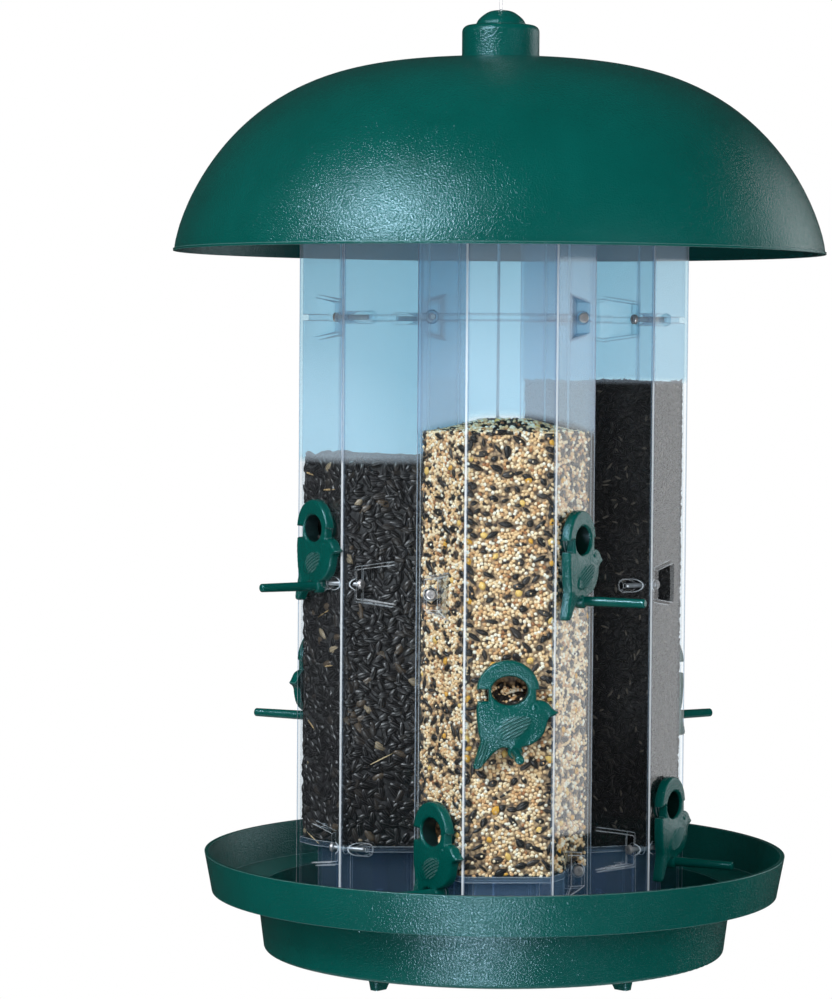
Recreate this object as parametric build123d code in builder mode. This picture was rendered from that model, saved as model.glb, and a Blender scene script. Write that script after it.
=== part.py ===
from build123d import *

import os
from math import cos, pi, radians, sin

# Hanging bird feeder: three clear hexagonal seed tubes in a round tray, under a domed roof that slides
# up a central cable. Millimetres, +Z up. The origin is on the feeder's axis, level with the tray's feet.

# --- tray
TRAY_WALL = 2.2
FOOT_HEIGHT = 10.7
DRUM_FLOOR = FOOT_HEIGHT + TRAY_WALL
DRUM_R_LOW = 117.2
DRUM_R_TOP = 120.9
DRUM_FILLET = 2.0
DISH_Z = 39.7
DISH_R = 144.0
DISH_RISE = 0.8
DISH_FILLET = 8.5
RIM_R = 147.8
RIM_Z = 60.5
FOOT_RING_R = 83.0
FOOT_COUNT = 4
FOOT_TIP = (8.0, 5.0)
FOOT_TIP_CORNER = 1.5
FOOT_ROOT = (17.0, 8.0)
FOOT_ROOT_CORNER = 2.0
FOOT_LEAN = 2.5

# --- seed tubes
TUBE_RING_R = 66.0
FIRST_TUBE = -90
TUBE_ANGLES = {"front": FIRST_TUBE, "right": FIRST_TUBE + 120, "left": FIRST_TUBE + 240}
APOTHEM = 38.0
TUBE_WALL = 1.8
TUBE_BOTTOM = DRUM_FLOOR + 1.3
TUBE_TOP = 408.0
CORNER_R = 2.0
LEDGE_Z = 330.3
LEDGE_HEIGHT = 3.0
LEDGE_DEPTH = 2.5
VERTEX_R = APOTHEM / cos(pi / 6)

# --- seam screws: the tube's halves meet at two corners, with three screws down each seam
SCREW_LEVELS = {61.0: 0, 196.4: 180, 331.8: 0}
SEAM_Y = 36.8
SEAT_INNER_Y = 33.3
POCKET_NEAR = 7.9
SEAT_X = POCKET_NEAR * cos(pi / 6)
POCKET_FAR = 28.0
POCKET_NEAR_HEIGHT = 14.2
POCKET_FAR_HEIGHT = 20.9
POCKET_WALL = 1.5
BOSS_R = 3.2
BOSS_LENGTH = 14.5
BOSS_TAPER = (1.4, 0.9)
SHANK_R = 1.3
SHANK_END = 11.0
HEAD_R = 2.5
HEAD_HEIGHT = 1.9
HEAD_FILLET = 0.8
DRIVE_WIDTH = 3.0
DRIVE_SLOT = 0.7
DRIVE_DEPTH = 1.0
TIP_CHAMFER = 0.6

# --- tube floors
FLOOR_Z = 59.5
FLOOR_THICK = 3.0
FLOOR_TOP = FLOOR_Z + FLOOR_THICK
FLOOR_NOTCH_R = 13.0
PEDESTAL_BOTTOM = DRUM_FLOOR + 0.1
PEDESTAL_APOTHEM = 28.0
PEDESTAL_WALL = 1.8
PEDESTAL_BOSS_R = 4.0
BASE_SCREW_R = 1.6
BASE_SCREW_END = 34.0
BASE_HEAD_R = 3.6
BASE_HEAD_HEIGHT = 2.2
BASE_HEAD_FILLET = 1.0
BASE_TIP_CHAMFER = 0.8

# --- feeding ports, named by height: the face each is on, as an angle from the tube's outward face
PORTS = {"high": (60, 224.0), "mid": (0, 153.0), "low": (-60, 82.0)}
HOLE_RX = 8.8
HOLE_RY = 6.9
SLEEVE_WALL = 1.1
SLEEVE_DEPTH = 4.3
HOOD_R = 15.1
HOOD_CENTRE = (-0.7, -0.5)
RELIEF = 4.5
HOOD_GAP_TOP = 0.5
HOOD_GAP_BOTTOM = -5.2
HOOD_GAP_LEFT = 10.0
HOOD_GAP_RIGHT = 5.0
PERCH_AT = (2.8, -29.5)
PERCH_FOOT_R = 3.6
PERCH_ROOT_R = 2.4
PERCH_TIP_R = 2.15
PERCH_LENGTH = 36.0
PERCH_INSIDE = 3.3
PERCH_TIP_FILLET = 0.9

# --- seed: how high each tube is filled
SEED_LEVELS = {"front": 280.0, "right": 300.0, "left": 261.0}
SEED_GAP = 0.4
CAVITY = (22.0, 17.0, 14.0)

# --- top spider: collars round the tubes' tops, and a hub for the cable
SPIDER_Z = 398.0
SPIDER_PLATE = 3.0
COLLAR_HEIGHT = 13.0
COLLAR_WALL = 2.5
WEB_R = 62.0
HUB_R = 9.0
HUB_TOP = 425.0

# --- roof
ROOF_R = 164.5
ROOF_Z = 364.7
ROOF_RISE = 97.4
ROOF_WALL = 2.2
ROOF_LIP_R = 165.0
ROOF_LIP_HEIGHT = 1.2
DOME_POWERS = (3.2, 1.46)
DOME_SHARE = 0.93
DOME_STEPS = 12
NECK_R = 19.6
NECK_TOP = 479.6
NECK_SHOULDER = 3.4

# --- roof cap: the bushing that the roof turns on, which slides on the cable
CAP_R = 12.5
CAP_TOP = 487.1
CAP_EDGE = 0.6
CAP_SHOULDER = (3.2, 2.6)
CAP_STEM_R = 6.0
CAP_TUBE_R = 4.6
CAP_FLAT_R = 4.0
RETAINER_R = 10.0
RETAINER_HEIGHT = 2.4
RETAINER_CHAMFER = 0.6
END_PLAY = 0.15

# --- hanging cable
CABLE_R = 0.8
GUIDE_R = 1.5
WASHER_R = 9.0
WASHER_THICK = 1.3
FERRULE_R = 3.0
FERRULE_LENGTH = 7.0
FERRULE_CHAMFER = 0.6
CABLE_INSET = 1.5
ROOF_TRAVEL = 55.0
LOOP_FERRULE_LENGTH = 12.0
LOOP_FERRULE_WIDTH = 7.0
LOOP_FERRULE_DEPTH = 4.2
LOOP_GRIP = 5.0
LOOP_NECK = 1.5
LOOP_HALF_WIDTH = 7.5
LOOP_HEIGHT = 16.5
LOOP_TOP = 584.2
LEG_X = 0.95
LEG_BEND_R = 3.0
SIDE_BEND_R = 7.0
TOP_BEND_R = 7.3

# --- clearances
STEP = 0.3
SLIP = 0.05
PARTING = 0.03
DRILL_PAST = 1.0

os.makedirs("parts", exist_ok=True)


def place(piece, where, label):
    """Stand a copy of a piece in its place, and write it as a node of its own."""
    with BuildPart() as node:
        with Locations(where):
            add(piece)
    node.part.label = label
    export_step(node.part, f"parts/{label}.step")


def tube_place(angle):
    """A tube's own frame: +X out of the feeder, +Y to the right seen from outside, +Z up."""
    turn = radians(angle)
    return Location((TUBE_RING_R * cos(turn), TUBE_RING_R * sin(turn), 0), (0, 0, angle))


def face_plane(turn, height):
    """A plane on a tube's outer face, in the tube's frame, with +Z out of the face and +Y up."""
    out = Vector(cos(radians(turn)), sin(radians(turn)), 0)
    across = Vector(-out.Y, out.X, 0)
    return Plane(out * APOTHEM + Vector(0, 0, height), x_dir=across, z_dir=out)


def seam_places():
    """The six seam screws of a tube, from the lowest pair up. The middle pair enters from the other side."""
    return [
        Location((0, 0, level), (0, flip, 0)) * Location((0, 0, 0), (0, 0, spin))
        for level, flip in SCREW_LEVELS.items()
        for spin in (0, 180)
    ]


def hexagon(apothem):
    """A hexagon with flats across X and corners on the Y axis."""
    RegularPolygon(radius=apothem, side_count=6, major_radius=False, rotation=90)


# ------------------------------------------------------------------------------------- seam hardware


def wedge(grow, proud):
    """The recess that a seam screw is driven in, on the face beside the seam's corner.

    It is cut straight across at the screw's seat and slopes out to the face. grow thickens it
    all round, and proud carries it out of the face.
    """
    corner = Vector(0, VERTEX_R, 0)
    along = Vector(cos(pi / 6), -sin(pi / 6), 0)
    out = Vector(sin(pi / 6), cos(pi / 6), 0)
    near = corner + along * POCKET_NEAR
    far = corner + along * POCKET_FAR
    seat = Vector(SEAT_X, SEAT_INNER_Y, 0)
    with BuildPart() as body:
        with BuildSketch():
            with BuildLine():
                Polyline(far, far + out * proud, near + out * proud, near, seat, close=True)
            make_face()
            offset(amount=grow, kind=Kind.INTERSECTION)
        extrude(amount=APOTHEM, both=True)
        with BuildSketch(Plane(corner, x_dir=along, z_dir=out)):
            with BuildLine():
                Polyline(
                    (POCKET_NEAR - proud, -POCKET_NEAR_HEIGHT / 2),
                    (POCKET_FAR + proud, -POCKET_FAR_HEIGHT / 2),
                    (POCKET_FAR + proud, POCKET_FAR_HEIGHT / 2),
                    (POCKET_NEAR - proud, POCKET_NEAR_HEIGHT / 2),
                    close=True,
                )
            make_face()
            offset(amount=grow, kind=Kind.INTERSECTION)
        extrude(amount=APOTHEM, both=True, mode=Mode.INTERSECT)
    return body.part


def seam_boss(grow):
    """The post that a seam screw runs through, tapered at its end. It passes out of the tube's far face."""
    with BuildPart() as body:
        with BuildSketch(Plane.YZ.offset(-BOSS_LENGTH - grow)):
            with Locations((SEAM_Y, 0)):
                Circle(BOSS_R + grow)
        extrude(amount=BOSS_LENGTH + SEAT_X - POCKET_WALL / 2 + grow)
        chamfer(body.edges().group_by(Axis.X)[0], length=BOSS_TAPER[0], length2=BOSS_TAPER[1])
    return body.part


pocket_recess = wedge(0, CORNER_R)
pocket_shell = wedge(POCKET_WALL, POCKET_WALL)
pocket_room = wedge(POCKET_WALL + SEED_GAP, CORNER_R)
boss = seam_boss(0)
boss_room = seam_boss(SEED_GAP)

with BuildPart() as pocket_cup:
    add(pocket_shell)
    split(bisect_by=face_plane(60, 0), keep=Keep.BOTTOM)
    split(bisect_by=Plane.YZ.offset(PARTING), keep=Keep.TOP)

with BuildPart() as seam_screw:
    with BuildSketch(Plane.YZ.offset(SEAT_X + PARTING)):
        with Locations((SEAM_Y, 0)):
            Circle(HEAD_R)
    extrude(amount=HEAD_HEIGHT)
    fillet(seam_screw.edges().group_by(Axis.X)[-1], radius=HEAD_FILLET)
    with BuildSketch(Plane.YZ.offset(SEAT_X + PARTING + HEAD_HEIGHT)):
        with Locations((SEAM_Y, 0)):
            SlotOverall(DRIVE_WIDTH, DRIVE_SLOT)
            SlotOverall(DRIVE_WIDTH, DRIVE_SLOT, rotation=90)
    extrude(amount=-DRIVE_DEPTH, mode=Mode.SUBTRACT)
    with BuildSketch(Plane.YZ.offset(SEAT_X + PARTING)):
        with Locations((SEAM_Y, 0)):
            Circle(SHANK_R)
    extrude(amount=-SEAT_X - SHANK_END)
    chamfer(seam_screw.edges().group_by(Axis.X)[0], length=TIP_CHAMFER)

with BuildPart() as screw_hole:
    with BuildSketch(Plane.YZ.offset(-SHANK_END - DRILL_PAST)):
        with Locations((SEAM_Y, 0)):
            Circle(SHANK_R + SLIP)
    extrude(amount=SHANK_END + DRILL_PAST + SEAT_X + HEAD_HEIGHT)

# -------------------------------------------------------------------------------------------- tubes

with BuildPart() as tube_blank:
    with BuildSketch(Plane.XY.offset(TUBE_BOTTOM)):
        hexagon(APOTHEM)
    extrude(amount=TUBE_TOP - TUBE_BOTTOM)
    fillet(tube_blank.edges().filter_by(Axis.Z), radius=CORNER_R)
    with BuildSketch(Plane.XY.offset(TUBE_BOTTOM)):
        hexagon(APOTHEM - TUBE_WALL)
    extrude(amount=TUBE_TOP - TUBE_BOTTOM, mode=Mode.SUBTRACT)
    with BuildSketch(Plane.XY.offset(LEDGE_Z)):
        hexagon(APOTHEM - TUBE_WALL / 2)
        offset(amount=-LEDGE_DEPTH - TUBE_WALL / 2, kind=Kind.INTERSECTION, mode=Mode.SUBTRACT)
    extrude(amount=LEDGE_HEIGHT)
    with Locations(seam_places()):
        add(pocket_cup.part)
        add(boss)
    with Locations(seam_places()):
        add(pocket_recess, mode=Mode.SUBTRACT)
        add(screw_hole.part, mode=Mode.SUBTRACT)

with BuildPart() as shell_outer:
    add(tube_blank.part)
    split(bisect_by=Plane.YZ.offset(PARTING), keep=Keep.TOP)
    for turn, height in PORTS.values():
        with BuildSketch(face_plane(turn, height)):
            Ellipse(HOLE_RX + SLEEVE_WALL + SLIP, HOLE_RY + SLEEVE_WALL + SLIP)
            with Locations(PERCH_AT):
                Circle(PERCH_ROOT_R + SLIP)
        extrude(amount=-2 * TUBE_WALL, mode=Mode.SUBTRACT)

with BuildPart() as shell_inner:
    add(tube_blank.part)
    split(bisect_by=Plane.YZ.offset(-PARTING), keep=Keep.BOTTOM)

# A plate that the seed rests on, notched round the lowest seam screws, on a hexagonal pedestal.
with BuildPart() as tube_floor:
    with BuildSketch(Plane.XY.offset(FLOOR_Z)):
        hexagon(APOTHEM - TUBE_WALL - 2 * SLIP)
        with Locations((0, VERTEX_R), (0, -VERTEX_R)):
            Circle(FLOOR_NOTCH_R, mode=Mode.SUBTRACT)
    extrude(amount=FLOOR_THICK)
    with Locations(seam_places()[:2]):
        add(pocket_room, mode=Mode.SUBTRACT)
        add(boss_room, mode=Mode.SUBTRACT)
    with BuildSketch(Plane.XY.offset(PEDESTAL_BOTTOM)):
        hexagon(PEDESTAL_APOTHEM)
        offset(amount=-PEDESTAL_WALL, kind=Kind.INTERSECTION, mode=Mode.SUBTRACT)
        Circle(PEDESTAL_BOSS_R)
    extrude(amount=FLOOR_Z - PEDESTAL_BOTTOM)
    with BuildSketch(Plane.XY.offset(PEDESTAL_BOTTOM)):
        Circle(BASE_SCREW_R + SLIP)
    extrude(amount=BASE_SCREW_END + DRILL_PAST - PEDESTAL_BOTTOM, mode=Mode.SUBTRACT)


# -------------------------------------------------------------------------------- ports and perches


# The silhouette below the hole: back at the left, beak at the right, tail and foot underneath.
with BuildSketch() as bird:
    with BuildLine():
        Spline((-15.4, -5.2), (-15.5, -15.0), (-13.8, -24.5))
        Polyline((-13.8, -24.5), (-17.6, -37.0), (-13.0, -37.6))
        Spline((-13.0, -37.6), (-6.3, -28.8), (-1.0, -27.0))
        Line((-1.0, -27.0), (6.3, -26.6))
        Spline((6.3, -26.6), (13.5, -24.0), (17.5, -18.0), (18.6, -13.0))
        Polyline((18.6, -13.0), (23.7, -10.5), (20.2, -8.0))
        Spline((20.2, -8.0), (17.6, -5.6), (14.0, -4.2))
        Line((14.0, -4.2), (-15.4, -5.2))
    make_face()

with BuildPart() as port:
    with BuildSketch(Plane.XY.offset(SLIP)):
        with Locations(HOOD_CENTRE):
            Circle(HOOD_R)
        with Locations((-HOOD_R, (HOOD_GAP_TOP + HOOD_GAP_BOTTOM) / 2)):
            Rectangle(HOOD_GAP_LEFT, HOOD_GAP_TOP - HOOD_GAP_BOTTOM, mode=Mode.SUBTRACT)
        with Locations((HOOD_R, (HOOD_GAP_TOP + HOOD_GAP_BOTTOM) / 2)):
            Rectangle(HOOD_GAP_RIGHT, HOOD_GAP_TOP - HOOD_GAP_BOTTOM, mode=Mode.SUBTRACT)
        add(bird.sketch)
        with Locations(PERCH_AT):
            Circle(PERCH_FOOT_R)
    extrude(amount=RELIEF)
    with BuildSketch(Plane.XY.offset(-SLEEVE_DEPTH)):
        Ellipse(HOLE_RX + SLEEVE_WALL, HOLE_RY + SLEEVE_WALL)
    extrude(amount=SLEEVE_DEPTH + RELIEF / 2)
    with BuildSketch(Plane.XY.offset(-SLEEVE_DEPTH)):
        Ellipse(HOLE_RX, HOLE_RY)
        with Locations(PERCH_AT):
            Circle(PERCH_ROOT_R + SLIP)
    extrude(amount=SLEEVE_DEPTH + 2 * RELIEF, mode=Mode.SUBTRACT)

with BuildPart() as perch:
    with BuildSketch(Plane.XY.offset(-PERCH_INSIDE)):
        with Locations(PERCH_AT):
            Circle(PERCH_ROOT_R)
    extrude(amount=PERCH_INSIDE + RELIEF)
    with BuildSketch(Plane.XY.offset(RELIEF)):
        with Locations(PERCH_AT):
            Circle(PERCH_ROOT_R)
    with BuildSketch(Plane.XY.offset(PERCH_LENGTH)):
        with Locations(PERCH_AT):
            Circle(PERCH_TIP_R)
    loft()
    fillet(perch.edges().group_by(Axis.Z)[-1], radius=PERCH_TIP_FILLET)

# Each port in its tube's frame, relieved behind where a seam post stands out of the face.
fitted_ports = {}
for level, (turn, height) in PORTS.items():
    with BuildPart() as fitted_port:
        with Locations(face_plane(turn, height).location):
            add(port.part)
        with Locations(seam_places()):
            add(boss_room, mode=Mode.SUBTRACT)
    fitted_ports[level] = fitted_port.part

# --------------------------------------------------------------------------------------------- seed


def seed_fill(level):
    """The seed in one tube, clear of the tube's pockets, posts, ports and perches."""
    with BuildPart() as fill:
        with BuildSketch(Plane.XY.offset(FLOOR_TOP + SLIP)):
            hexagon(APOTHEM - TUBE_WALL - SEED_GAP)
        extrude(amount=level - FLOOR_TOP)
        with Locations(seam_places()[:4]):
            add(pocket_room, mode=Mode.SUBTRACT)
            add(boss_room, mode=Mode.SUBTRACT)
        for turn, height in PORTS.values():
            across, tall, deep = CAVITY
            with BuildSketch(face_plane(turn, height)):
                Rectangle(across, tall)
            extrude(amount=-deep, mode=Mode.SUBTRACT)
            with BuildSketch(face_plane(turn, height)):
                with Locations(PERCH_AT):
                    Circle(PERCH_ROOT_R + SEED_GAP)
            extrude(amount=-PERCH_INSIDE - SEED_GAP, mode=Mode.SUBTRACT)
    return fill.part


for side, angle in TUBE_ANGLES.items():
    where = tube_place(angle)
    place(shell_outer.part, where, f"tube_shell_outer_{side}")
    place(shell_inner.part, where, f"tube_shell_inner_{side}")
    place(tube_floor.part, where, f"tube_floor_{side}")
    place(seed_fill(SEED_LEVELS[side]), where, f"seed_fill_{side}")
    place(seam_screw.part, [where * spot for spot in seam_places()], f"seam_screws_{side}")
    for level, (turn, height) in PORTS.items():
        place(fitted_ports[level], where, f"port_{side}_{level}")
        place(perch.part, where * face_plane(turn, height).location, f"perch_{side}_{level}")

# --------------------------------------------------------------------------------------------- tray

with BuildPart() as foot:
    with BuildSketch(Plane.XY):
        with Locations((FOOT_LEAN, 0)):
            RectangleRounded(*FOOT_TIP, radius=FOOT_TIP_CORNER)
    with BuildSketch(Plane.XY.offset(FOOT_HEIGHT + TRAY_WALL / 2)):
        RectangleRounded(*FOOT_ROOT, radius=FOOT_ROOT_CORNER)
    loft()

with BuildPart() as tray:
    with BuildSketch(Plane.XZ) as tray_profile:
        with BuildLine():
            Polyline(
                (GUIDE_R, FOOT_HEIGHT),
                (DRUM_R_LOW, FOOT_HEIGHT),
                (DRUM_R_TOP, DISH_Z),
                (DISH_R, DISH_Z + DISH_RISE),
                (RIM_R, RIM_Z),
                (RIM_R - TRAY_WALL, RIM_Z),
                (DISH_R - TRAY_WALL, DISH_Z + DISH_RISE + TRAY_WALL),
                (DRUM_R_TOP - TRAY_WALL, DISH_Z + TRAY_WALL),
                (DRUM_R_LOW - TRAY_WALL, DRUM_FLOOR),
                (GUIDE_R, DRUM_FLOOR),
                close=True,
            )
        make_face()
        corners = tray_profile.vertices().sort_by(Axis.X)
        drum_corners = corners.filter_by_position(Axis.X, DRUM_R_LOW - 2 * TRAY_WALL, DRUM_R_LOW + SLIP)
        dish_corners = corners.filter_by_position(Axis.X, DISH_R - 2 * TRAY_WALL, DISH_R + SLIP)
        fillet([corner for corner in drum_corners if corner.Y < DISH_Z - TRAY_WALL], radius=DRUM_FILLET)
        fillet([corner for corner in dish_corners if corner.Y < RIM_Z - TRAY_WALL], radius=DISH_FILLET)
    revolve(axis=Axis.Z)
    with PolarLocations(FOOT_RING_R, FOOT_COUNT, start_angle=45):
        add(foot.part)
    with BuildSketch(Plane.XY.offset(FOOT_HEIGHT)):
        with PolarLocations(TUBE_RING_R, len(TUBE_ANGLES), start_angle=FIRST_TUBE):
            Circle(BASE_SCREW_R + STEP)
    extrude(amount=TRAY_WALL, mode=Mode.SUBTRACT)
tray.part.label = "tray"
export_step(tray.part, "parts/tray.step")

# Screws from under the tray, one up into each tube's pedestal.
with BuildPart() as base_screw:
    with BuildSketch(Plane.XY.offset(FOOT_HEIGHT - SLIP)):
        Circle(BASE_HEAD_R)
    extrude(amount=-BASE_HEAD_HEIGHT)
    fillet(base_screw.edges().group_by(Axis.Z)[0], radius=BASE_HEAD_FILLET)
    with BuildSketch(Plane.XY.offset(FOOT_HEIGHT - SLIP)):
        Circle(BASE_SCREW_R)
    extrude(amount=BASE_SCREW_END - FOOT_HEIGHT + SLIP)
    chamfer(base_screw.edges().group_by(Axis.Z)[-1], length=BASE_TIP_CHAMFER)
place(base_screw.part, [tube_place(angle) for angle in TUBE_ANGLES.values()], "base_screws")

# --------------------------------------------------------------------------------- top spider

with BuildPart() as top_spider:
    with BuildSketch(Plane.XY.offset(SPIDER_Z)):
        Circle(WEB_R)
        with PolarLocations(TUBE_RING_R, len(TUBE_ANGLES), start_angle=FIRST_TUBE):
            hexagon(APOTHEM + COLLAR_WALL)
    extrude(amount=SPIDER_PLATE)
    with BuildSketch(Plane.XY.offset(SPIDER_Z)):
        with PolarLocations(TUBE_RING_R, len(TUBE_ANGLES), start_angle=FIRST_TUBE):
            hexagon(APOTHEM + COLLAR_WALL)
    extrude(amount=COLLAR_HEIGHT)
    with BuildSketch(Plane.XY.offset(SPIDER_Z)):
        Circle(HUB_R)
    extrude(amount=HUB_TOP - SPIDER_Z)
    with BuildSketch(Plane.XY.offset(SPIDER_Z)):
        with PolarLocations(TUBE_RING_R, len(TUBE_ANGLES), start_angle=FIRST_TUBE):
            hexagon(APOTHEM + SLIP)
        Circle(GUIDE_R)
    extrude(amount=HUB_TOP - SPIDER_Z, mode=Mode.SUBTRACT)
top_spider.part.label = "top_spider"
export_step(top_spider.part, "parts/top_spider.step")

# -------------------------------------------------------------------------------------- roof


def dome_point(radius, rise, share):
    """A point on the dome's outline, share running 0 to 1 up it. The outline is a superellipse,
    (r / radius)^a + (z / rise)^b = 1, and a and b are the dome's powers."""
    turn = share * pi / 2
    flat_power, steep_power = DOME_POWERS
    return (radius * cos(turn) ** (2 / flat_power), ROOF_Z + rise * sin(turn) ** (2 / steep_power))


def dome_line(radius, rise):
    """The outline from the rim up to a quarter of the radius. It is nearly flat from there in."""
    return [dome_point(radius, rise, DOME_SHARE * step / DOME_STEPS) for step in range(DOME_STEPS + 1)]


with BuildPart() as roof:
    with BuildSketch(Plane.XZ):
        with BuildLine():
            outline = Spline(dome_line(ROOF_R, ROOF_RISE))
            Polyline(outline @ 1, (NECK_R, ROOF_Z + ROOF_RISE), (0, ROOF_Z + ROOF_RISE), (0, ROOF_Z))
            Line((0, ROOF_Z), outline @ 0)
        make_face()
    revolve(axis=Axis.Z)
    with BuildSketch(Plane.XZ):
        with Locations(((ROOF_R - ROOF_WALL / 2 + ROOF_LIP_R) / 2, ROOF_Z + ROOF_LIP_HEIGHT / 2)):
            Rectangle(ROOF_LIP_R - ROOF_R + ROOF_WALL / 2, ROOF_LIP_HEIGHT)
    revolve(axis=Axis.Z)
    with BuildSketch(Plane.XY.offset(ROOF_Z + ROOF_RISE - ROOF_WALL)):
        Circle(NECK_R)
    extrude(amount=NECK_TOP - ROOF_Z - ROOF_RISE + ROOF_WALL)
    fillet(roof.edges().group_by(Axis.Z)[-1], radius=NECK_SHOULDER)
    with BuildSketch(Plane.XZ):
        with BuildLine():
            hollow = Spline(dome_line(ROOF_R - ROOF_WALL, ROOF_RISE - ROOF_WALL))
            Polyline(hollow @ 1, (0, ROOF_Z + ROOF_RISE - ROOF_WALL), (0, ROOF_Z - ROOF_WALL))
            Polyline((0, ROOF_Z - ROOF_WALL), (ROOF_R - ROOF_WALL, ROOF_Z - ROOF_WALL), hollow @ 0)
        make_face()
    revolve(axis=Axis.Z, mode=Mode.SUBTRACT)
    with BuildSketch(Plane.XY.offset(ROOF_Z)):
        Circle(NECK_R - ROOF_WALL)
    extrude(amount=NECK_TOP - ROOF_WALL - ROOF_Z, mode=Mode.SUBTRACT)
    with BuildSketch(Plane.XY.offset(ROOF_Z)):
        Circle(CAP_STEM_R + SLIP)
    extrude(amount=CAP_TOP - ROOF_Z, mode=Mode.SUBTRACT)
roof.part.label = "roof"
export_step(roof.part, "parts/roof.step")

# The cap's tube stands on the spider's hub. The roof turns on the cap's stem, and both slide on the cable.
CAP_BASE = NECK_TOP + END_PLAY
RETAINER_TOP = NECK_TOP - ROOF_WALL - END_PLAY
with BuildPart() as roof_cap:
    with BuildSketch(Plane.XZ):
        with BuildLine():
            Line((GUIDE_R, CAP_BASE), (CAP_R, CAP_BASE))
            Line((CAP_R, CAP_BASE), (CAP_R, CAP_BASE + CAP_EDGE))
            Spline(
                (CAP_R, CAP_BASE + CAP_EDGE),
                (CAP_R - CAP_SHOULDER[0], CAP_TOP - CAP_SHOULDER[1]),
                (CAP_FLAT_R, CAP_TOP),
                tangents=[(-0.3, 1), (-1, 0.15)],
            )
            Polyline((CAP_FLAT_R, CAP_TOP), (GUIDE_R, CAP_TOP), (GUIDE_R, CAP_BASE))
        make_face()
    revolve(axis=Axis.Z)
    with BuildSketch(Plane.XY.offset(RETAINER_TOP - 2 * RETAINER_HEIGHT)):
        Circle(CAP_STEM_R)
        Circle(GUIDE_R, mode=Mode.SUBTRACT)
    extrude(amount=CAP_BASE - RETAINER_TOP + 2 * RETAINER_HEIGHT)
    with BuildSketch(Plane.XY.offset(HUB_TOP + STEP)):
        Circle(CAP_TUBE_R)
        Circle(GUIDE_R, mode=Mode.SUBTRACT)
    extrude(amount=RETAINER_TOP - 2 * RETAINER_HEIGHT - HUB_TOP - STEP)
roof_cap.part.label = "roof_cap"
export_step(roof_cap.part, "parts/roof_cap.step")

with BuildPart() as roof_retainer:
    with BuildSketch(Plane.XY.offset(RETAINER_TOP - RETAINER_HEIGHT)):
        Circle(RETAINER_R)
        Circle(CAP_STEM_R + SLIP / 2, mode=Mode.SUBTRACT)
    extrude(amount=RETAINER_HEIGHT)
    chamfer(roof_retainer.edges().group_by(Axis.Z)[0].sort_by(SortBy.RADIUS)[-1], length=RETAINER_CHAMFER)
roof_retainer.part.label = "roof_retainer"
export_step(roof_retainer.part, "parts/roof_retainer.step")

# ------------------------------------------------------------------------------------- hanger

WASHER_TOP = FOOT_HEIGHT - STEP
FERRULE_TOP = WASHER_TOP - WASHER_THICK - SLIP
CABLE_END = FERRULE_TOP - FERRULE_LENGTH + CABLE_INSET
LOOP_FERRULE_Z = CAP_TOP + ROOF_TRAVEL + STEP
HANGING_END = LOOP_FERRULE_Z + LOOP_GRIP
LEG_END = LOOP_FERRULE_Z + LOOP_FERRULE_LENGTH - LOOP_GRIP

with BuildPart() as centre_cable:
    with BuildSketch(Plane.XY.offset(CABLE_END)):
        Circle(CABLE_R)
    extrude(amount=CAP_TOP - CABLE_END)
centre_cable.part.label = "centre_cable"
export_step(centre_cable.part, "parts/centre_cable.step")

with BuildPart() as hanging_cable:
    with BuildSketch(Plane.XY.offset(CAP_TOP)):
        Circle(CABLE_R)
    extrude(amount=HANGING_END - CAP_TOP)
hanging_cable.part.label = "hanging_cable"
export_step(hanging_cable.part, "parts/hanging_cable.step")
print(f"hanging cable: one straight run of {HANGING_END - CAP_TOP:.1f} mm, with no bends")

with BuildPart() as bottom_washer:
    with BuildSketch(Plane.XY.offset(WASHER_TOP - WASHER_THICK)):
        Circle(WASHER_R)
        Circle(CABLE_R + SLIP, mode=Mode.SUBTRACT)
    extrude(amount=WASHER_THICK)
bottom_washer.part.label = "bottom_washer"
export_step(bottom_washer.part, "parts/bottom_washer.step")

with BuildPart() as bottom_ferrule:
    with BuildSketch(Plane.XY.offset(FERRULE_TOP - FERRULE_LENGTH)):
        Circle(FERRULE_R)
    extrude(amount=FERRULE_LENGTH)
    chamfer(bottom_ferrule.edges().group_by(Axis.Z)[0], length=FERRULE_CHAMFER)
    with BuildSketch(Plane.XY.offset(FERRULE_TOP)):
        Circle(CABLE_R + SLIP / 2)
    extrude(amount=CABLE_END - SLIP - FERRULE_TOP, mode=Mode.SUBTRACT)
bottom_ferrule.part.label = "bottom_ferrule"
export_step(bottom_ferrule.part, "parts/bottom_ferrule.step")

with BuildPart() as loop_ferrule:
    with BuildSketch(Plane.XY.offset(LOOP_FERRULE_Z)):
        SlotOverall(LOOP_FERRULE_WIDTH, LOOP_FERRULE_DEPTH)
    extrude(amount=LOOP_FERRULE_LENGTH)
    with BuildSketch(Plane.XY.offset(LOOP_FERRULE_Z)):
        Circle(CABLE_R + SLIP / 2)
    extrude(amount=HANGING_END + SLIP - LOOP_FERRULE_Z, mode=Mode.SUBTRACT)
    with BuildSketch(Plane.XY.offset(LEG_END - SLIP)):
        with Locations((-LEG_X, 0), (LEG_X, 0)):
            Circle(CABLE_R + SLIP / 2)
    extrude(amount=LOOP_FERRULE_LENGTH, mode=Mode.SUBTRACT)
loop_ferrule.part.label = "loop_ferrule"
export_step(loop_ferrule.part, "parts/loop_ferrule.step")

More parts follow.
